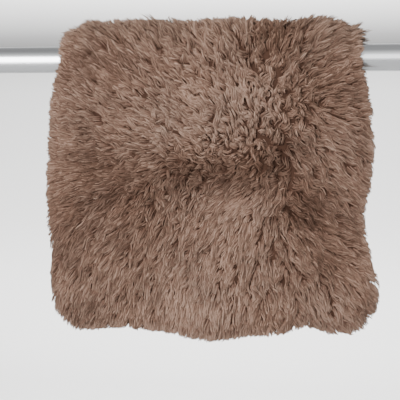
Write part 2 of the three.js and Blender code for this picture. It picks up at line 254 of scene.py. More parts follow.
def hide_row(front, part, out):
    """One row of places across a flap, with a slight wobble along its cut edge and a soft ripple."""
    drop = hem_drop(front, HIDE_SHARES) - HIDE_MARGIN
    down = np.where(part < 0, part * QUARTER_BEND, part * drop)
    wobble = CUT_WOBBLE["depth"] * np.sin(down / CUT_WOBBLE["length"] + CUT_WOBBLE["slant"] * HIDE_SHARES)
    across = HIDE_SHARES * (side_reach(front, HIDE_SHARES < 0, down) - HIDE_MARGIN + wobble)
    first, second = (np.sin(across / wide + down / tall) for wide, tall in RIPPLES)
    ripple = RIPPLE_HEIGHT * first * second
    return hang(front, across, down, out + ripple * smooth(down / RIPPLE_FULL_FROM))


def hide_side(out):
    """One side of the hide as a grid of places, from the front hem over the bend to the back hem."""
    front, back = ([hide_row(flap, part, out) for part in HIDE_PARTS] for flap in (True, False))
    return np.array(front[::-1] + back[1:])


suede = bpy.data.materials.new("suede")
suede.use_nodes = True
nodes, links = suede.node_tree.nodes, suede.node_tree.links
place = nodes.new("ShaderNodeTexCoord")
clouds = nodes.new("ShaderNodeTexNoise")
clouds.inputs["Scale"].default_value = 14
clouds.inputs["Detail"].default_value = 6
nap = nodes.new("ShaderNodeTexNoise")
nap.inputs["Scale"].default_value = 900
nap.inputs["Detail"].default_value = 4
both = nodes.new("ShaderNodeMath")
both.operation = "MULTIPLY_ADD"
both.inputs[1].default_value = 0.35
shade = nodes.new("ShaderNodeValToRGB")
shade.color_ramp.elements[0].position = 0.42
shade.color_ramp.elements[0].color = (0.30, 0.215, 0.16, 1)
shade.color_ramp.elements[1].position = 0.86
shade.color_ramp.elements[1].color = (0.47, 0.37, 0.29, 1)
links.new(place.outputs["Object"], clouds.inputs["Vector"])
links.new(place.outputs["Object"], nap.inputs["Vector"])
links.new(nap.outputs["Fac"], both.inputs[0])
links.new(clouds.outputs["Fac"], both.inputs[2])
links.new(both.outputs[0], shade.inputs["Fac"])
suede_bump = nodes.new("ShaderNodeBump")
suede_bump.inputs["Strength"].default_value = 0.5
suede_bump.inputs["Distance"].default_value = 0.0006
links.new(nap.outputs["Fac"], suede_bump.inputs["Height"])
surface = nodes["Principled BSDF"]
surface.inputs["Roughness"].default_value = 0.92
surface.inputs["Sheen Weight"].default_value = 0.25
links.new(shade.outputs["Color"], surface.inputs["Base Color"])
links.new(suede_bump.outputs["Normal"], surface.inputs["Normal"])

hide = new_piece("hide", *closed_sheet(hide_side(HIDE_THICKNESS), hide_side(0.0)), suede)
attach(hide, "root")
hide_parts("skin")

# The inner wool: the short dense wool that grows next to the hide. It shows only as the dark depth between
# the long locks, so it is one soft lumpy layer, about three quarters as deep as the fleece, and rounded off
# at the cut edge.
WOOL_DEPTH, CROWN_DEPTH = 35, 38.5
CROWN_BLEND = 20  # from the crown, the stretch over which each flap's own swells begin
SWELL_COLUMNS = ("across", "down", "radius", "rise")
CROWN_SWELLS = [
    (-95, -QUARTER_BEND, 60, 2),
    (36, -QUARTER_BEND, 34, 5),
    (105, -QUARTER_BEND, 26, -4),
    (172, -QUARTER_BEND, 24, 2),
]
FRONT_SWELLS = [
    (-20, 84, 52, 7),
    (55, 62, 46, 5),
    (-134, 89, 62, 5),
    (15, -37, 40, 2),
    (186, -20, 30, 4),
    (206, 111, 50, 4),
    (50, 222, 40, 6),
    (-87, 250, 44, 3),
    (0, 318, 62, 5),
    (-152, 366, 52, 4),
    (217, 350, 40, 5),
    (-63, 166, 24, -9),
    (0, 163, 24, -11),
    (67, 150, 24, -10),
    (122, 166, 30, -12),
    (155, 230, 27, -9),
    (125, 235, 10, -8),
    (141, 243, 10, -9),
    (157, 251, 10, -9),
    (172, 258, 10, -7),
    (146, 58, 24, -6),
    (-146, 208, 44, -8),
    (-209, 295, 26, -5),
    (102, -24, 22, -6),
    (99, 385, 22, -7),
]
BACK_SWELLS = [
    (-120, 90, 70, 5),
    (90, 120, 80, 6),
    (-20, 210, 40, -8),
    (150, 250, 50, -5),
    (-150, 290, 70, 4),
    (60, 340, 70, 5),
]
INNER_SHARE = 0.74  # of the wool's depth
INNER_MARGIN = 11  # the long wool reaches this far past the inner wool
INNER_UNDERSIDE = 1.2  # inside the hide
LUMP_SHARE, LUMP_SIZE, LUMP_SEED = 0.05, 11, 3
EDGE_ROUNDING = 24
EDGE_MIDDLE = 0.4455  # of the wool's depth, where the two sides meet at the edge
HALF_WIDTH = 215  # about, of the inner wool
FLAT_COLUMNS, FLAT_ROWS, BEND_ROWS = 56, 48, 11
# where the grid's lines run in the rounded edge, as shares of it
ROUNDING = 1 - np.cos(np.linspace(0, pi / 2, 7))
edge_shares = 1 - ROUNDING * EDGE_ROUNDING / HALF_WIDTH
flat_shares = np.linspace(-edge_shares[-1], edge_shares[-1], FLAT_COLUMNS + 2)[1:-1]
INNER_SHARES = np.r_[-edge_shares, flat_shares, edge_shares[::-1]]


def rise(swells, across, down):
    """What a table of soft round swells adds up to at a place."""
    total = 0 * across
    for row in swells:
        swell = dict(zip(SWELL_COLUMNS, row))
        away = ((across - swell["across"]) ** 2 + (down - swell["down"]) ** 2) / swell["radius"] ** 2
        total = total + swell["rise"] * np.exp(-away)
    return total


def wool_depth(front, across, down):
    """How far the whole fleece stands out from the flesh side."""
    from_crown = down + QUARTER_BEND
    base = CROWN_DEPTH + (WOOL_DEPTH - CROWN_DEPTH) * smooth(from_crown / (3 * QUARTER_BEND))
    own = smooth(from_crown / CROWN_BLEND) * rise(FRONT_SWELLS if front else BACK_SWELLS, across, down)
    return base + rise(CROWN_SWELLS, across, down) + own


def lumps(across, down, size, seed):
    """Soft unevenness about -1 to 1, whose lumps are about this many millimetres wide."""
    waves_in_all, usual_sum = 7, 2.6
    waves = np.random.default_rng(seed)
    total = 0 * across
    for _ in range(waves_in_all):
        turn, shift = waves.uniform(0, 2 * pi, 2)
        length = 2 * size * waves.uniform(0.75, 1.4)
        total = total + np.sin(2 * pi * (across * np.cos(turn) + down * np.sin(turn)) / length + shift)
    return total / usual_sum


def inner_heights(front, across, down):
    """How far the outside and the underside of the inner wool stand out from the flesh side."""
    reach = side_reach(front, across < 0, down) - INNER_MARGIN
    drop = hem_drop(front, np.clip(across / reach, -1, 1)) - INNER_MARGIN
    from_side = np.clip((reach - np.abs(across)) / EDGE_ROUNDING, 0, 1)
    from_hem = np.clip((drop - down) / EDGE_ROUNDING, 0, 1)
    full = np.sqrt(1 - (1 - from_side) ** 2) * np.sqrt(1 - (1 - from_hem) ** 2)
    fleece_depth = wool_depth(front, across, down)
    middle = EDGE_MIDDLE * fleece_depth
    uneven = LUMP_SHARE * lumps(across, down, LUMP_SIZE, LUMP_SEED)
    lumpy = 1 + uneven * smooth((down + QUARTER_BEND) / CROWN_BLEND)
    outside = middle + (INNER_SHARE * fleece_depth * lumpy - middle) * full
    underside = INNER_UNDERSIDE + (middle - INNER_UNDERSIDE) * (1 - full)
    return outside, underside


def inner_layer(front):
    """One flap's inner wool as two grids of places on the skin, its outside and its underside."""
    share = INNER_SHARES[None, :]
    drop = hem_drop(front, share) - INNER_MARGIN
    bend = np.linspace(-1, 0, BEND_ROWS)[:, None] * QUARTER_BEND + 0 * share
    hanging = np.linspace(0, 1, FLAT_ROWS + 2)[1:-1, None] * (drop - EDGE_ROUNDING)
    hem = drop - ROUNDING[::-1, None] * EDGE_ROUNDING
    down = np.concatenate([bend, hanging, hem])
    across = share * (side_reach(front, share < 0, down) - INNER_MARGIN)
    return [np.stack([across, down, out], -1) for out in inner_heights(front, across, down)]


def unfold_rows(grids):
    """Both flaps' rows in one grid, from the front hem over the bend to the back hem, hung in the room."""
    front, back = (hang(flap, *np.moveaxis(grid, -1, 0)) for flap, grid in zip((True, False), grids))
    return np.concatenate([front[::-1], back[1:]])


# The colour that both wools share: brown at the root, paler and drier towards the tip, with fine fibres.
# "along" runs from 0 at a strand's root to 1 at its tip, and "tone" is its shade, in even steps of ratio
# from DARKEST at 0 to PALEST at 1; it holds the strand's own tone and the painted light and shade of
# lock_light. The inner wool carries neither, so it is all root and darkest: partly its own dark root colour
# and partly painted shade for the depth between the locks.
DARKEST, PALEST = 0.10, 1.30
WARM_SHADOW, FULL_LIGHT = (1, 0.80, 0.69, 1), (1, 1, 1, 1)
PATCH_BROWN = (0.30, 0.19, 0.14, 1)
FIBRE_GREY = (0.62, 0.60, 0.58, 1)
INNER_BROWN = (0.36, 0.21, 0.15)
fleece_colour = bpy.data.node_groups.new("fleece_colour", "ShaderNodeTree")
for socket in ("Along", "Tone"):
    fleece_colour.interface.new_socket(socket, in_out="INPUT", socket_type="NodeSocketFloat")
for socket in ("Root", "Middle", "Tip"):
    fleece_colour.interface.new_socket(socket, in_out="INPUT", socket_type="NodeSocketColor")
fleece_colour.interface.new_socket("Color", in_out="OUTPUT", socket_type="NodeSocketColor")
fleece_colour.interface.new_socket("Fibres", in_out="OUTPUT", socket_type="NodeSocketFloat")
nodes, links = fleece_colour.nodes, fleece_colour.links
given, result = nodes.new("NodeGroupInput"), nodes.new("NodeGroupOutput")
place = nodes.new("ShaderNodeTexCoord")
fibres = nodes.new("ShaderNodeTexNoise")
fibres.inputs["Scale"].default_value = 1400
fibres.inputs["Detail"].default_value = 2
links.new(place.outputs["Object"], fibres.inputs["Vector"])
patches = nodes.new("ShaderNodeTexNoise")
patches.inputs["Scale"].default_value = 17
patches.inputs["Detail"].default_value = 3
links.new(place.outputs["Object"], patches.inputs["Vector"])


def mixed(kind, amount, first, second):
    """A mix of two colours in the colour group. Each value is a number, a colour or another node's output."""
    mix = nodes.new("ShaderNodeMix")
    mix.data_type = "RGBA"
    mix.blend_type = kind
    for socket, value in ((mix.inputs["Factor"], amount), (mix.inputs[6], first), (mix.inputs[7], second)):
        if isinstance(value, (float, tuple)):
            socket.default_value = value
        else:
            links.new(value, socket)
    return mix.outputs[2]


def ranged(value, low, high, to_low, to_high):
    """A node's output in the colour group, moved from one range to another."""
    span = nodes.new("ShaderNodeMapRange")
    for name, number in (("From Min", low), ("From Max", high), ("To Min", to_low), ("To Max", to_high)):
        span.inputs[name].default_value = number
    links.new(value, span.inputs["Value"])
    return span.outputs["Result"]


lower = ranged(given.outputs["Along"], 0.0, 0.5, 0.0, 1.0)
upper = ranged(given.outputs["Along"], 0.45, 1.0, 0.0, 1.0)
lower_colour = mixed("MIX", lower, given.outputs["Root"], given.outputs["Middle"])
body_colour = mixed("MIX", upper, lower_colour, given.outputs["Tip"])
lightness = nodes.new("ShaderNodeMath")
lightness.operation = "POWER"
lightness.inputs[0].default_value = PALEST / DARKEST
links.new(given.outputs["Tone"], lightness.inputs[1])
lit = ranged(lightness.outputs[0], 0.0, PALEST / DARKEST, 0.0, PALEST)
warmth = mixed("MIX", ranged(given.outputs["Tone"], 0.4, 1.0, 0.0, 1.0), WARM_SHADOW, FULL_LIGHT)
patched = mixed("MIX", ranged(patches.outputs["Fac"], 0.35, 0.65, 0.0, 0.22), body_colour, PATCH_BROWN)
shaded = mixed("MULTIPLY", 1.0, patched, lit)
toned = mixed("MULTIPLY", 1.0, shaded, warmth)
streaked = mixed("MULTIPLY", ranged(fibres.outputs["Fac"], 0.3, 0.7, 0.0, 0.35), toned, FIBRE_GREY)
links.new(streaked, result.inputs["Color"])
links.new(fibres.outputs["Fac"], result.inputs["Fibres"])


def wool_material(name, root, middle, tip):
    """Dull soft wool in its own three colours."""
    material = bpy.data.materials.new(name)
    material.use_nodes = True
    nodes, links = material.node_tree.nodes, material.node_tree.links
    colour = nodes.new("ShaderNodeGroup")
    colour.node_tree = fleece_colour
    for socket, value in (("Root", root), ("Middle", middle), ("Tip", tip)):
        colour.inputs[socket].default_value = (*value, 1)
    for socket in ("Along", "Tone"):
        carried = nodes.new("ShaderNodeAttribute")
        carried.attribute_name = socket.lower()
        links.new(carried.outputs["Fac"], colour.inputs[socket])
    bump = nodes.new("ShaderNodeBump")
    bump.inputs["Strength"].default_value = 0.35
    bump.inputs["Distance"].default_value = 0.0004
    links.new(colour.outputs["Fibres"], bump.inputs["Height"])
    surface = nodes["Principled BSDF"]
    surface.inputs["Roughness"].default_value = 0.72
    surface.inputs["Specular IOR Level"].default_value = 0.07
    links.new(colour.outputs["Color"], surface.inputs["Base Color"])
    links.new(bump.outputs["Normal"], surface.inputs["Normal"])
    return material


# the inner wool's darkness is partly its own root colour and partly painted shade between the locks
inner_material = wool_material("inner_wool", INNER_BROWN, INNER_BROWN, INNER_BROWN)
tops, unders = zip(inner_layer(True), inner_layer(False))
inner_wool = new_piece("inner_wool", *closed_sheet(unfold_rows(tops), unfold_rows(unders)), inner_material)
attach(inner_wool, "root")
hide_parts("skin")

# The long wool: locks that grow out of the inner wool and lie over each other like shingles. Each lock is
# made of flat pointed strands, three clinging together at a time, and closes up towards its tip. On the front
# the wool parts from the left of the middle to the lower right, and sweeps up above that line and down below.
NAP_COLUMNS = ("across", "down", "points", "combed")  # degrees from the right, turning up; 0 curly to 1 flat
FRONT_NAP = [
    (-211, -30, 145, 1),
    (-111, -30, 134, 1),
    (3, -30, 122, 0.9),
    (103, -30, 90, 0.7),
    (160, -30, 44, 0.9),
    (215, -30, 25, 1),
    (-235, 40, 155, 1),
    (-165, 50, 145, 1),
    (-70, 30, 138, 0.8),
    (-20, 70, 150, 0.8),
    (43, 32, 115, 0.7),
    (80, 50, 97, 0.4),
    (127, 40, 68, 0.5),
    (183, 20, 26, 1),
    (222, 70, 5, 1),
    (-235, 110, 172, 1),
    (-130, 100, 158, 1),
    (-40, 115, 150, 0.8),
    (45, 100, 118, 0.6),
    (100, 95, 92, 0.4),
    (165, 110, 315, 0.7),
    (225, 120, 330, 1),
    (-200, 162, 184, 1),
    (-110, 165, 190, 0.9),
    (20, 150, 165, 0.4),
    (85, 155, 200, 0.3),
    (165, 170, 316, 0.8),
    (220, 180, 318, 1),
    (-231, 219, 202, 1),
    (-62, 219, 258, 0.7),
    (43, 205, 217, 1),
    (100, 205, 236, 0.8),
    (162, 219, 328, 0.8),
    (-150, 265, 224, 1),
    (-8, 290, 240, 1),
    (64, 300, 250, 1),
    (113, 319, 271, 0.8),
    (162, 308, 314, 0.8),
    (223, 290, 334, 1),
    (-231, 308, 236, 1),
    (-92, 300, 246, 1),
    (-191, 389, 247, 1),
    (-72, 400, 258, 1),
    (43, 400, 262, 1),
    (122, 400, 270, 0.8),
    (165, 381, 294, 0.9),
    (232, 389, 306, 1),
]
# The shade of the wool from place to place, with SWELL_COLUMNS: its rise makes the wool paler or darker.
# On the front this is partly the wool's own tone, darker where it parts and shows its roots, and partly
# painted light and shade: painted shade in its hollows and along the crease, painted light on upturned tips.
FRONT_TONE_AND_PAINTED_SHADE = [
    (-195, 15, 50, -0.16),
    (-125, 14, 50, -0.20),
    (-60, -20, 34, -0.08),
    (-30, 0, 40, -0.06),
    (-170, 176, 60, -0.36),
    (-212, 250, 50, -0.22),
    (-108, 235, 50, -0.28),
    (-105, 318, 56, -0.16),
    (-225, 310, 50, -0.18),
    (0, 264, 30, -0.12),
    (-50, 278, 46, -0.08),
    (-92, 178, 40, -0.18),
    (-30, 172, 36, -0.48),
    (30, 174, 34, -0.44),
    (84, 170, 34, -0.46),
    (128, 168, 30, -0.20),
    (-52, 122, 40, 0.30),
    (20, 112, 48, 0.34),
    (80, 76, 38, 0.44),
    (140, 76, 32, -0.10),
    (118, 128, 34, -0.08),
    (145, 130, 34, -0.06),
    (188, 50, 44, -0.27),
    (150, 214, 36, -0.42),
    (82, 222, 26, 0.22),
    (138, 266, 38, -0.16),
    (190, 225, 40, -0.14),
    (186, 318, 34, -0.24),
    (150, 40, 40, -0.06),
    (105, -24, 40, -0.50),
    (196, 278, 40, -0.16),
    (98, 394, 20, -0.32),
    (125, 235, 9, -0.30),
    (141, 243, 9, -0.34),
    (157, 251, 9, -0.30),
    (172, 258, 9, -0.20),
    (0, 400, 120, 0.22),
    (-30, 384, 50, 0.12),
    (188, 384, 30, 0.36),
]
BACK_SHADES = [
    (-110, 200, 90, -0.18),
    (20, 240, 70, -0.22),
    (120, 110, 90, 0.12),
    (-60, 60, 80, 0.10),
    (60, 370, 90, 0.12),
]
FLEECE = [
    {"front": True, "spacing": 7.7, "per_lock": 18, "strand_width": 1.3, "length": 27.5, "parts": 5},
    {"front": False, "spacing": 10.9, "per_lock": 12, "strand_width": 1.8, "length": 34, "parts": 2},
]
RINGS = 4
STRAND_PROFILE = (0.8, 1.0, 1.0, 0.85)
BUNDLE = 3  # strands that cling together within a lock
BEND_STRETCH = 2.6  # over the bend, the outside of the wool is this much longer than the hide
# Each of these pairs goes from its value in curly wool to its value in combed wool.
WAVE_TURN = (1.0275, 0.2775)  # how far, in radians, neighbouring locks wave together
OWN_TURN = (0.78, 0.08)  # and how far each lock turns by itself
LOCK_REACH = (0.45, 1)  # the share of its length that a lock has
LOCK_SPREAD = (0.63, 0.462)  # how far bundles lie from their lock's middle, in spacings
LOCK_CLOSING = (1.2, 0.7)  # how much of CLOSING_SHARES a lock closes up towards its tip
LOCK_LIFT = (6.08, 3.04)  # how high a lock stands over the inner wool
LOCK_CROWN = (3.4, 1.4)  # and how much higher its middle is than its sides
WAVE_SIZE = 11
LEAST_COMBED = 0.05
CLOSED_AT_ROOT, CLOSING_SHARES = 0.05, (0.1, 0.6)
LOCK_LONGER, LOCK_LONGER_LIMITS = 0.16, (0.6, 1.5)
LOCK_HIGHER, LOCK_HIGHER_LIMITS = 0.25, (0.4, 1.6)
BUNDLE_LIMIT = 1.7
WIDTH_VARIES = (0.75, 1.25)
STRAND_SPREAD, STRAND_JITTER, JITTER_AT_ROOT = 0.6, 0.25, 0.4
LEAN_SPACINGS = 0.6  # a strand this far from its lock's middle is on the lock's side
BUNDLE_LONGER, STRAND_LONGER = 0.13, 0.04
BUNDLE_HIGHER, STRAND_HIGHER = 0.7, 0.35
ROOT_DEPTH = 3  # how far below the inner wool's surface a strand starts
ARC_PROFILE, ARC_END = 0.75, 0.86  # how soon a strand is at its full height, and how far it comes down again
STANDING, STANDING_OVER = (0.15, 1.3), 50  # near the crown, strands go straight on where the bend falls away
STANDING_ARC, STANDING_RADIUS = 0.36, 42
LOOSE_TIPS, LOOSE_MIDDLE, LOOSE_LIMITS = 1.8, 0.5, (-2.2, 2.6)  # how far tips pass the fleece's outline
LOOSE_VARIES = (0.85, 0.8, 0.5)  # by lock, by bundle and by strand
BEND_LOOSER, BEND_LOOSER_OVER = 1.7, 90
SHADE_VARIES = (0.04, 0.12, 0.31)  # by lock, by bundle and by strand
MEAN_LIGHT, PATCH_LIGHT, LIGHT_FLOOR = 0.8137, 0.87, 0.37
# painted light: the wool is made paler at the crown and round its rim, most on the right, where light catches
# its tips
CROWN_PAINTED_LIGHT, RIM_PAINTED_LIGHT, RIGHT_RIM_PAINTED_LIGHT, RIM_WIDTH = 0.30, 0.20, 0.8, 1.4
ROLL = 0.45  # how much the strands are turned about their length, each its own way
OPEN_SIDE = 0.5  # and how much they all turn to the side that the flap is seen from
SOFTNESS, LOCK_ROUND, RIM_TURN = 0.4, 0.36, 0.8
CELL_MARGIN = 0.12


def front_lie(across, down):
    """The way the wool lies on the front, as an across and a down part. It is short in curly wool."""
    nap = dict(zip(NAP_COLUMNS, np.array(FRONT_NAP, float).T))
    blend = 15
    points = np.radians(nap["points"])
    away = (across[:, None] - nap["across"]) ** 2 + (down[:, None] - nap["down"]) ** 2
    weight = 1 / (away + blend**2) ** 2
    ways = nap["combed"][:, None] * np.stack([np.cos(points), -np.sin(points)], 1)
    return weight @ ways / weight.sum(1, keepdims=True)


def back_lie(across, down):
    """On the back the wool spreads from above the middle of the bend and falls towards the hem."""
    centre, outwards, fall, fall_over, curly_within = -95, 0.9, 40, 150, 40
    swirl, swirl_width, swirl_height = 30, 70, 60
    sideways = across * outwards + swirl * lumps(across, down, swirl_width, 21)
    falling = down - centre + swirl * lumps(across, down, swirl_height, 22)
    downwards = falling + fall * smooth(down / fall_over)
    way = np.stack([sideways, downwards], -1)
    return way / (np.linalg.norm(way, axis=1, keepdims=True) + curly_within)


def by_combing(strength, curly_to_combed):
    """A value that goes evenly from curly wool, of strength 0, to combed wool, of strength 1."""
    curly, combed = curly_to_combed
    return curly + (combed - curly) * strength


def stretched(place, by=BEND_STRETCH):
    """Places on the skin as the outside of the wool shows them, where the bend takes more room."""
    wide = place.copy()
    wide[..., 1] *= np.where(place[..., 1] < 0, by, 1)
    return wide


def unstretched(place):
    """The same places as the hide shows them."""
    return stretched(place, 1 / BEND_STRETCH)


def root_places(grid_top, grid_under, spacing, rng):
    """Evenly spread places on the inner wool, also round its edge, with the way straight out of it."""
    tries, under_edge_from, shuffle = 25, 4.0, 0.4
    rows, columns = grid_top.shape[:2]
    quads = sheet_faces(rows, columns, False)
    fine = np.concatenate([quads[:, [0, 1, 2]], quads[:, [0, 2, 3]]])
    roots, outwards = [], []
    for grid, way in ((grid_top, 1), (grid_under, -1)):
        spot = grid.reshape(-1, 3)
        normal = np.cross(spot[fine[:, 1]] - spot[fine[:, 0]], spot[fine[:, 2]] - spot[fine[:, 0]])
        normal *= np.sign(normal[:, 2:3] + 1e-9) * way
        at_corner = np.zeros_like(spot)
        for k in range(3):
            np.add.at(at_corner, fine[:, k], normal)
        # under the edge, only its rounded part carries wool
        used = fine if way > 0 else fine[spot[fine, 2].mean(1) > under_edge_from]
        a, b, c = (stretched(spot[used[:, k]]) for k in range(3))
        area = np.linalg.norm(np.cross(b - a, c - a), axis=1) / 2
        wanted = tries * area / spacing**2
        many = np.floor(wanted + rng.uniform(0, 1, len(wanted))).astype(int)
        pick = np.repeat(np.arange(len(used)), many)
        u, v = rng.uniform(0, 1, (2, len(pick)))
        over = u + v > 1
        u, v = np.where(over, 1 - u, u), np.where(over, 1 - v, v)
        weights = np.stack([1 - u - v, u, v], 1)[:, :, None]
        place = (spot[used[pick]] * weights).sum(1)
        facing = (at_corner[used[pick]] * weights).sum(1)
        # of the many places tried, one is kept in each cell of a net as wide as the spacing
        step = stretched(place) / spacing
        step[:, 0] += 0.5 * (np.floor(step[:, 1]) % 2)
        off_centre = np.linalg.norm(step - np.floor(step) - 0.5, axis=1) + rng.uniform(0, shuffle, len(step))
        order = np.argsort(off_centre)
        kept = order[np.unique(np.floor(step[order]), axis=0, return_index=True)[1]]
        roots.append(place[kept])
        outwards.append(facing[kept])
    roots, outwards = np.concatenate(roots), np.concatenate(outwards)
    return roots, outwards / np.linalg.norm(outwards, axis=1, keepdims=True)


def lock_paths(front, root, length, rng, seed):
    """Each lock's path over the stretched skin, its way at each point, and how combed the wool is there."""
    own_turn = rng.normal(size=len(root))

    def way_at(place):
        on_skin = unstretched(place)
        lie = (front_lie if front else back_lie)(on_skin[:, 0], on_skin[:, 1])
        strength = np.clip(np.linalg.norm(lie, axis=1), LEAST_COMBED, 1)
        waves = by_combing(strength, WAVE_TURN) * lumps(place[:, 0], place[:, 1], WAVE_SIZE, seed + 5)
        turn = np.arctan2(lie[:, 1], lie[:, 0]) + waves + by_combing(strength, OWN_TURN) * own_turn
        return np.stack([np.cos(turn), np.sin(turn)], -1), strength

    start = stretched(root[:, :2])
    way, strength = way_at(start)
    uneven = (1 + LOCK_LONGER * rng.normal(size=len(root))).clip(*LOCK_LONGER_LIMITS)
    reach = length * by_combing(strength, LOCK_REACH) * uneven
    places, ways = [start], [way]
    for _ in range(RINGS):
        places.append(places[-1] + ways[-1] * (reach / RINGS)[:, None])
        ways.append(way_at(places[-1])[0])
    return np.stack(places, 1), np.stack(ways, 1), strength


def within_outline(front, start, tip, loose):
    """The share of its length at which a strand meets the fleece's outline, plus what its loose tip adds."""
    shortest = 0.2
    side = side_reach(front, tip[:, 0] < 0, tip[:, 1]) + loose
    hem = hem_drop(front, np.clip(tip[:, 0] / side, -1, 1)) + loose
    over_side = (np.abs(tip[:, 0]) - side) / np.maximum(np.abs(tip[:, 0] - start[:, 0]), 1)
    over_hem = (tip[:, 1] - hem) / np.maximum(np.abs(tip[:, 1] - start[:, 1]), 1)
    return np.clip(1 - np.maximum(over_side, over_hem), shortest, 1)


def lock_light(front, root, facing):
    """How light the wool is at each lock: its own tone with painted light and shade in patches, and painted
    light that makes it paler at the crown and round the edge.
    """
    # painted light and shade in patches, on top of the wool's own tone
    tone_and_painted_light = rise(FRONT_TONE_AND_PAINTED_SHADE if front else BACK_SHADES, root[:, 0], root[:, 1])
    # painted light: paler at the crown and round the rim, most on the right
    tone_and_painted_light += CROWN_PAINTED_LIGHT * (1 - smooth((root[:, 1] + QUARTER_BEND) / CROWN_BLEND))
    tone_and_painted_light += RIM_PAINTED_LIGHT * smooth(RIM_WIDTH * (1 - facing[:, 2])) * (1 + RIGHT_RIM_PAINTED_LIGHT * (facing[:, 0] > 0))
    light = MEAN_LIGHT + PATCH_LIGHT * tone_and_painted_light
    return np.where(light < LIGHT_FLOOR, LIGHT_FLOOR * np.exp(light / LIGHT_FLOOR - 1), light)


def grow_wool(front, grid_top, grid_under, spacing, per_lock, strand_width, length, seed):
    """The strands of one flap: their lines as places on the skin, their widths, tones and outward ways."""
    rng = np.random.default_rng(seed)
    root, facing = root_places(grid_top, grid_under, spacing, rng)
    places, ways, strength = lock_paths(front, root, length, rng, seed)
    locks = len(root)
    who = np.repeat(np.arange(locks), per_lock)
    many = len(who)
    bundle = np.arange(many) // BUNDLE
    from_crown = root[:, 1] + QUARTER_BEND
    t = np.linspace(0, 1, RINGS + 1)

    def shared():
        """A random number for each bundle, as its strands share it."""
        return rng.normal(size=bundle[-1] + 1).clip(-BUNDLE_LIMIT, BUNDLE_LIMIT)[bundle]

    def varied(by_lock, by_bundle, by_strand):
        """Unevenness of three kinds, added up for each strand."""
        own = by_lock * rng.normal(size=locks)[who]
        return own + by_bundle * shared() + by_strand * rng.normal(size=many)

    spread = spacing * by_combing(strength, LOCK_SPREAD)[who] * shared()
    spread += STRAND_SPREAD * rng.normal(size=many)
    closing = (rng.uniform(*CLOSING_SHARES, locks) * by_combing(strength, LOCK_CLOSING))[who]
    beside = spread[:, None] * (1 - closing[:, None] * smooth(CLOSED_AT_ROOT + (1 - CLOSED_AT_ROOT) * t))
    sideways = np.stack([-ways[..., 1], ways[..., 0]], -1)[who]
    longer = 1 + BUNDLE_LONGER * shared() + STRAND_LONGER * rng.normal(size=many)
    middle = places[who]
    flat = middle[:, :1] + (middle - middle[:, :1]) * longer[:, None, None] + sideways * beside[..., None]
    flat[:, 1:] += STRAND_JITTER * rng.normal(size=(many, RINGS, 2)) * (JITTER_AT_ROOT + t[1:, None])
    flat = unstretched(flat)
    near_bend = BEND_LOOSER + (1 - BEND_LOOSER) * smooth(from_crown / BEND_LOOSER_OVER)
    loose = LOOSE_TIPS * near_bend[who] * (LOOSE_MIDDLE + varied(*LOOSE_VARIES)).clip(*LOOSE_LIMITS)
    kept = within_outline(front, flat[:, 0], flat[:, -1], loose)
    flat = flat[:, :1] + (flat - flat[:, :1]) * kept[:, None, None]

    lean = spread / (LEAN_SPACINGS * spacing)
    crown = by_combing(strength, LOCK_CROWN)[who] * (1 - lean**2)
    higher = (1 + LOCK_HIGHER * rng.normal(size=locks)).clip(*LOCK_HIGHER_LIMITS)
    lift = by_combing(strength, LOCK_LIFT) * higher
    standing = ((1 - smooth(from_crown / STANDING_OVER)) * rng.uniform(*STANDING, locks))[who, None]
    arc = np.sin(pi * t**ARC_PROFILE * (ARC_END - STANDING_ARC * standing))
    height = -ROOT_DEPTH + (ROOT_DEPTH + lift[who] + crown)[:, None] * arc
    height += standing * (length * t) ** 2 / (2 * STANDING_RADIUS)
    height[:, 1:] += BUNDLE_HIGHER * shared()[:, None] + STRAND_HIGHER * rng.normal(size=(many, RINGS))
    on_top = root[:, 2] >= inner_heights(front, root[:, 0], root[:, 1])[0] - ROOT_DEPTH
    surface = inner_heights(front, flat[..., 0], flat[..., 1])[0]
    base = np.where(on_top[who][:, None], surface, root[who, 2][:, None])
    lines = np.concatenate([flat, base[..., None]], -1) + facing[who][:, None, :] * height[..., None]

    light = lock_light(front, root, facing)[who] * np.exp(varied(*SHADE_VARIES))
    tone = np.clip(np.log(light / DARKEST) / np.log(PALEST / DARKEST), 0, 1)
    width = strand_width * rng.uniform(*WIDTH_VARIES, many)
    off_middle = np.concatenate([sideways * lean.clip(-1, 1)[:, None, None], 0 * sideways[..., :1]], -1)
    seen_out = facing + np.array([0, 0, RIM_TURN])
    seen_out /= np.linalg.norm(seen_out, axis=1, keepdims=True)
    return lines, width, tone, seen_out[who][:, None] + LOCK_ROUND * off_middle


def unit(ways):
    """The same ways, one long."""
    return ways / (np.linalg.norm(ways, axis=2, keepdims=True) + 1e-9)


def on_both_edges(values):
    """From a value for each point along the strands to one for each corner: two at a ring, one at the tip."""
    return np.concatenate([np.repeat(values[:, :RINGS], 2, axis=1), values[:, -1:]], 1)


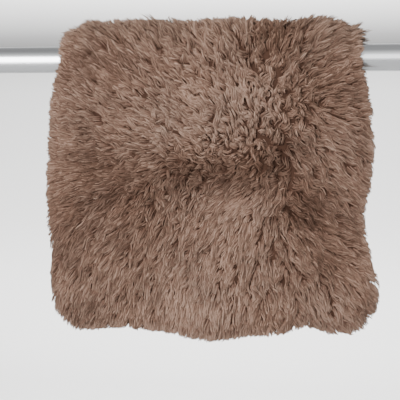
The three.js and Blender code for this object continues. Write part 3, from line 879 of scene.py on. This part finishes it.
def strand_piece(name, front, lines, width, tone, facing, material, seed):
    """One mesh of pointed flat strands. Each has its own cell in the map that its finish goes on."""
    rng = np.random.default_rng(seed)
    many = len(lines)
    places = hang(front, lines[..., 0], lines[..., 1], lines[..., 2])
    ahead = unit(np.gradient(places, axis=1))
    outward = unit(hang(front, *np.moveaxis(lines + facing, -1, 0)) - places)
    open_side = np.array([0, -OPEN_SIDE if front else OPEN_SIDE, 0])
    across = unit(np.cross(ahead, outward + open_side + ROLL * rng.normal(size=(many, 1, 3))))
    half = 0.5 * width[:, None, None] * np.array(STRAND_PROFILE)[:, None] * across[:, :RINGS]
    body = np.stack([places[:, :RINGS] - half, places[:, :RINGS] + half], 2).reshape(many, -1, 3)
    vertices = np.concatenate([body, places[:, -1:]], 1)
    faces, spots = [], []
    for ring in range(RINGS - 1):
        a, low, high = 2 * ring, ring / RINGS, (ring + 1) / RINGS
        faces += [(a, a + 1, a + 3), (a, a + 3, a + 2)]
        spots += [((0, low), (1, low), (1, high)), ((0, low), (1, high), (0, high))]
    faces.append((2 * RINGS - 2, 2 * RINGS - 1, 2 * RINGS))
    spots.append(((0, 1 - 1 / RINGS), (1, 1 - 1 / RINGS), (0.5, 1)))
    per = vertices.shape[1]
    corners = (np.array(faces)[None] + per * np.arange(many)[:, None, None]).reshape(-1, 3)
    piece = new_piece(name, vertices.reshape(-1, 3), corners, material)
    mesh = piece.data
    along = np.tile(np.r_[np.repeat(np.arange(RINGS) / RINGS, 2), 1.0], many)
    for label, values in (("along", along), ("tone", np.repeat(tone, per))):
        mesh.attributes.new(label, "FLOAT", "POINT").data.foreach_set("value", values.astype(np.float32))
    cells = int(np.ceil(np.sqrt(many)))
    cell = np.stack([np.arange(many) % cells, np.arange(many) // cells], -1)
    corner_spots = CELL_MARGIN + (1 - 2 * CELL_MARGIN) * np.array(spots)
    finish_map = (cell[:, None, None, :] + corner_spots[None]) / cells
    mesh.uv_layers.new(name="OFBake").data.foreach_set("uv", finish_map.astype(np.float32).ravel())
    # light falls on a strand as on a round one, and partly as on the soft rounded lock that it lies in
    through = np.cross(across, ahead)
    beside = across[:, :RINGS]
    own = np.stack([through[:, :RINGS] - beside, through[:, :RINGS] + beside], 2).reshape(many, -1, 3)
    own = unit(np.concatenate([own, through[:, -1:]], 1))
    soft = SOFTNESS * on_both_edges((through * outward).sum(2, keepdims=True).clip(0, 1))
    shading = unit(own * (1 - soft) + on_both_edges(outward) * soft)
    mesh.normals_split_custom_set_from_vertices(shading.reshape(-1, 3))
    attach(piece, "root")
    return piece


LONG_ROOT, LONG_MIDDLE, LONG_TIP = (0.080, 0.042, 0.029), (0.110, 0.071, 0.054), (0.157, 0.109, 0.083)
long_material = wool_material("long_wool", LONG_ROOT, LONG_MIDDLE, LONG_TIP)
for flap, top, under in zip(FLEECE, tops, unders):
    front, parts = flap["front"], flap["parts"]
    side = "front" if front else "back"
    growth = {how: flap[how] for how in ("spacing", "per_lock", "strand_width", "length")}
    lines, width, tone, facing = grow_wool(front, top, under, seed=11 + front, **growth)
    bands = np.array_split(np.argsort(lines[:, 0, 1], kind="stable"), parts)
    for part, band in enumerate(bands, 1):
        strands = lines[band], width[band], tone[band], facing[band]
        piece = strand_piece(f"long_wool_{side}_{part}", front, *strands, long_material, 31 + part)
        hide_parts(f"edge_locks_{side}_left", f"edge_locks_{side}_right")
        if part == 1:
            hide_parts("edge_locks_bend_left", "edge_locks_bend_right")
        if part == parts:
            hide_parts(f"edge_locks_{side}_hem")

# The room: a pale backdrop that curves down well below the hanging flaps, and a grey studio floor in front of
# it. The backdrop's colour is painted shade that changes with height, as light falls off over a real one,
# with a painted shadow band that shows just above the rod.
BACKDROP_BOTTOM, BACKDROP_TOP = -1.4, 0.6  # the heights, in metres, that its stops run between
# painted shade: palest low on the curve, greyer up the wall, with a dark painted shadow band about 0.2 m
# above the rod's axis
BACKDROP_SHADE_STOPS = [
    (0.08, 0.97),
    (0.22, 0.92),
    (0.38, 0.76),
    (0.70, 0.58),
    (0.765, 0.48),
    (0.81, 0.16),
    (0.84, 0.25),
    (0.94, 0.84),
]
BACKDROP_TINT = (1, 0.995, 0.99)
FLOOR, PAPER_START, WALL, WALL_TOP, SWEEP = -1350, 1700, 3200, 2600, 500
ROOM_LEFT, ROOM_RIGHT, ROOM_FRONT = -6000, 6800, -6000


def grey_ramp(nodes, stops, tint=(1, 1, 1)):
    """A ramp through greys, with a place from 0 to 1 and a level for each stop."""
    ramp = nodes.new("ShaderNodeValToRGB")
    for i, (at, level) in enumerate(stops):
        stop = ramp.color_ramp.elements[i] if i < 2 else ramp.color_ramp.elements.new(at)
        stop.position = at
        stop.color = (*(level * part for part in tint), 1)
    return ramp


backdrop_paint = bpy.data.materials.new("pale_backdrop")
backdrop_paint.use_nodes = True
nodes, links = backdrop_paint.node_tree.nodes, backdrop_paint.node_tree.links
place = nodes.new("ShaderNodeTexCoord")
axes = nodes.new("ShaderNodeSeparateXYZ")
links.new(place.outputs["Object"], axes.inputs["Vector"])
height = nodes.new("ShaderNodeMapRange")
height.inputs["From Min"].default_value = BACKDROP_BOTTOM
height.inputs["From Max"].default_value = BACKDROP_TOP
links.new(axes.outputs["Z"], height.inputs["Value"])
shade = grey_ramp(nodes, BACKDROP_SHADE_STOPS, BACKDROP_TINT)
links.new(height.outputs["Result"], shade.inputs["Fac"])
links.new(shade.outputs["Color"], nodes["Principled BSDF"].inputs["Base Color"])
nodes["Principled BSDF"].inputs["Roughness"].default_value = 0.95
floor_paint = bpy.data.materials.new("grey_floor")
floor_paint.use_nodes = True
floor_surface = floor_paint.node_tree.nodes["Principled BSDF"]
floor_surface.inputs["Base Color"].default_value = (0.36, 0.36, 0.36, 1)
floor_surface.inputs["Roughness"].default_value = 0.9
turns = np.linspace(0, pi / 2, 9)
curve = [(WALL - SWEEP + SWEEP * np.sin(a), FLOOR + SWEEP - SWEEP * np.cos(a)) for a in turns]
paper_line = [(PAPER_START, FLOOR), *curve, (WALL, WALL_TOP)]
floor_line = [(ROOM_FRONT, FLOOR), (PAPER_START, FLOOR)]
for name, line, paint in (
    ("backdrop", paper_line, backdrop_paint),
    ("studio_floor", floor_line, floor_paint),
):
    rows = np.array([[(x, y, z) for x in (ROOM_LEFT, ROOM_RIGHT)] for y, z in line], float)
    new_piece(name, rows.reshape(-1, 3), sheet_faces(len(line), 2, False), paint)

# The light: a large softbox in front and to the left, three dimmer ones above and behind, and a pale glow
# all round, stronger at mid height and to the right. Of the lamps only the first shows in the rod.
GLOW_STOPS = [(0.10, 0.40), (0.30, 0.8), (0.40, 1.0), (0.62, 1.0), (0.78, 0.42), (0.95, 0.15)]
GLOW_LEFT, GLOW_RIGHT = 2.6, 3.4


def soft_light(name, at, aim, size, power):
    """A softbox at a place, turned to face another, in metres and watts."""
    lamp = bpy.data.lights.new(name, "AREA")
    lamp.shape = "RECTANGLE"
    lamp.size, lamp.size_y = size
    lamp.energy = power
    light = bpy.data.objects.new(name, lamp)
    light.location = at
    light.rotation_euler = (Vector(aim) - Vector(at)).to_track_quat("-Z", "Y").to_euler()
    bpy.context.collection.objects.link(light)
    return light


soft_light("front_softbox", (-1.2, -3.0, 0.0), (0.2, 0, 0), (2.4, 2.6), 235)
for name, at, aim, power in (
    ("top_softbox", (0.2, -1.1, 1.9), (0.37, 0, -0.1), 50),
    ("back_softbox", (0.5, 1.6, 1.9), (0.37, 0, -0.1), 90),
    ("backdrop_light", (0.4, 1.9, 1.6), (0.4, 2.9, -1.35), 60),
):
    light = soft_light(name, at, aim, (1.8, 1.2), power)
    light.visible_glossy = False
world = bpy.data.worlds.new("studio")
world.use_nodes = True
nodes, links = world.node_tree.nodes, world.node_tree.links
place = nodes.new("ShaderNodeTexCoord")
axes = nodes.new("ShaderNodeSeparateXYZ")
links.new(place.outputs["Generated"], axes.inputs["Vector"])
height = nodes.new("ShaderNodeMapRange")
height.inputs["From Min"].default_value = -1
links.new(axes.outputs["Z"], height.inputs["Value"])
glow = grey_ramp(nodes, GLOW_STOPS)
links.new(height.outputs["Result"], glow.inputs["Fac"])
sides = nodes.new("ShaderNodeMapRange")
sides.inputs["From Min"].default_value = -0.45
sides.inputs["From Max"].default_value = 0.25
sides.inputs["To Min"].default_value = GLOW_LEFT
sides.inputs["To Max"].default_value = GLOW_RIGHT
links.new(axes.outputs["X"], sides.inputs["Value"])
links.new(glow.outputs["Color"], nodes["Background"].inputs["Color"])
links.new(sides.outputs["Result"], nodes["Background"].inputs["Strength"])
bpy.context.scene.world = world
